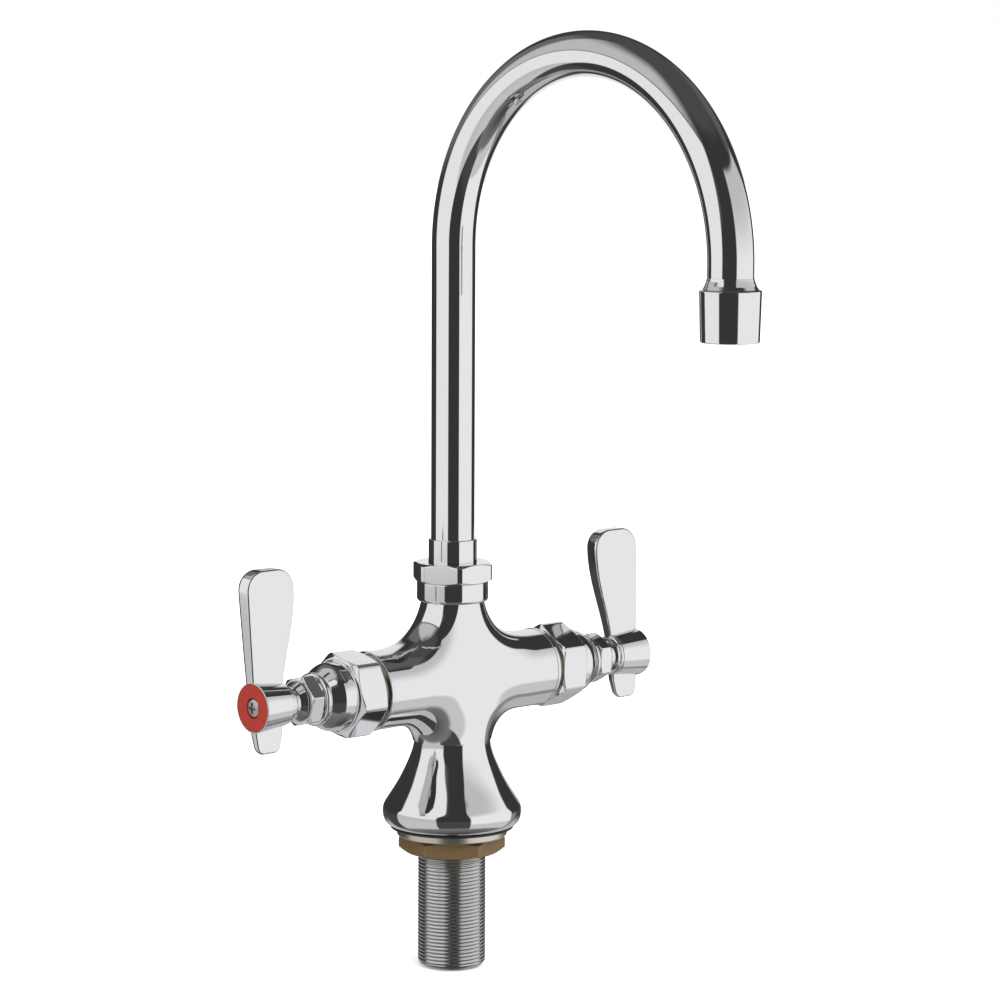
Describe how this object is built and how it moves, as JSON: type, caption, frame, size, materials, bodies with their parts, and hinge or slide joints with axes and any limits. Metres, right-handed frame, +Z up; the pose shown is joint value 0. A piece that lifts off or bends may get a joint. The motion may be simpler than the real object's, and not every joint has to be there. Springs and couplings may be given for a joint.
{
  "type": "sink faucet",
  "caption": "Deck-mounted single-hole sink faucet with a swivelling gooseneck spout, lever handles, ceramic-disc valves and a threaded shank with lock nut.",
  "frame": {"origin": "where the shank's axis crosses the deck, level with the gasket's sealing lip", "axes": "+Z up along the shank and the spout's swivel axis; -Y to the user, where the spout points at rest; +X along the arms towards the cold handle, so hot is -X"},
  "size_m": [0.2134, 0.1977, 0.3864],
  "materials": {
    "chrome": "polished chrome plate on brass",
    "seal_rubber": "moulded black rubber",
    "shank_steel": "turned, satin",
    "washer_steel": "plain, slightly warm",
    "nut_brass": "raw, dull",
    "spindle_brass": "machined",
    "fine_steel": "machined",
    "disc_ceramic": "lapped, hard and white",
    "white_plastic": "moulded",
    "red_plastic": "smooth",
    "blue_plastic": "smooth"
  },
  "bodies": {
    "casting": {"base_gasket": "seal_rubber", "body_casting": "chrome", "cold_bonnet": "chrome", "cold_bonnet_washer": "spindle_brass", "cold_fixed_disc": "disc_ceramic", "cold_gland_nut": "chrome", "cold_seat_seal": "seal_rubber", "cold_stem_packing": "seal_rubber", "cold_thrust_washer": "white_plastic", "hot_bonnet": "chrome", "hot_bonnet_washer": "spindle_brass", "hot_fixed_disc": "disc_ceramic", "hot_gland_nut": "chrome", "hot_seat_seal": "seal_rubber", "hot_stem_packing": "seal_rubber", "hot_thrust_washer": "white_plastic", "mounting_shank": "shank_steel", "spout_bearing_washer": "white_plastic", "spout_nut": "chrome"},
    "spout": {"spout_tube": "chrome", "spout_sleeve": "chrome", "spout_o_ring_lower": "seal_rubber", "spout_o_ring_upper": "seal_rubber", "spout_retaining_ring": "fine_steel", "outlet_collar": "chrome", "aerator_insert": "white_plastic", "aerator_screen": "fine_steel", "aerator_washer": "seal_rubber"},
    "hot_lever": {"hot_spindle": "spindle_brass", "hot_spindle_o_ring_inner": "seal_rubber", "hot_spindle_o_ring_outer": "seal_rubber", "hot_moving_disc": "disc_ceramic", "hot_stem_sleeve": "chrome", "hot_handle": "chrome", "hot_index_disc": "red_plastic", "hot_handle_screw": "fine_steel"},
    "cold_lever": {"cold_spindle": "spindle_brass", "cold_spindle_o_ring_inner": "seal_rubber", "cold_spindle_o_ring_outer": "seal_rubber", "cold_moving_disc": "disc_ceramic", "cold_stem_sleeve": "chrome", "cold_handle": "chrome", "cold_index_disc": "blue_plastic", "cold_handle_screw": "fine_steel"},
    "washer": {"lock_washer": "washer_steel"},
    "nut": {"lock_nut": "nut_brass"}
  },
  "joints": [
    {"name": "spout_swivel", "type": "hinge", "parent": "casting", "child": "spout", "pos_m": [0, 0, 0.1], "axis": [0, 0, 1], "continuous": true},
    {"name": "hot_turn", "type": "hinge", "parent": "casting", "child": "hot_lever", "pos_m": [-0.08, 0, 0.062], "axis": [1, 0, 0], "range_deg": [0, 90]},
    {"name": "cold_turn", "type": "hinge", "parent": "casting", "child": "cold_lever", "pos_m": [0.08, 0, 0.062], "axis": [1, 0, 0], "range_deg": [0, 90]},
    {"name": "washer_slide", "type": "slide", "parent": "casting", "child": "washer", "axis": [0, 0, -1], "range_m": [0, 0.045]},
    {"name": "nut_turn", "type": "hinge", "parent": "washer", "child": "nut", "pos_m": [0, 0, -0.0067], "axis": [0, 0, 1], "range_deg": [0, 10800]}
  ],
  "couplings": [
    {"joint": "washer_slide", "follows": "nut_turn", "m_per_rad": 0.00023873}
  ]
}
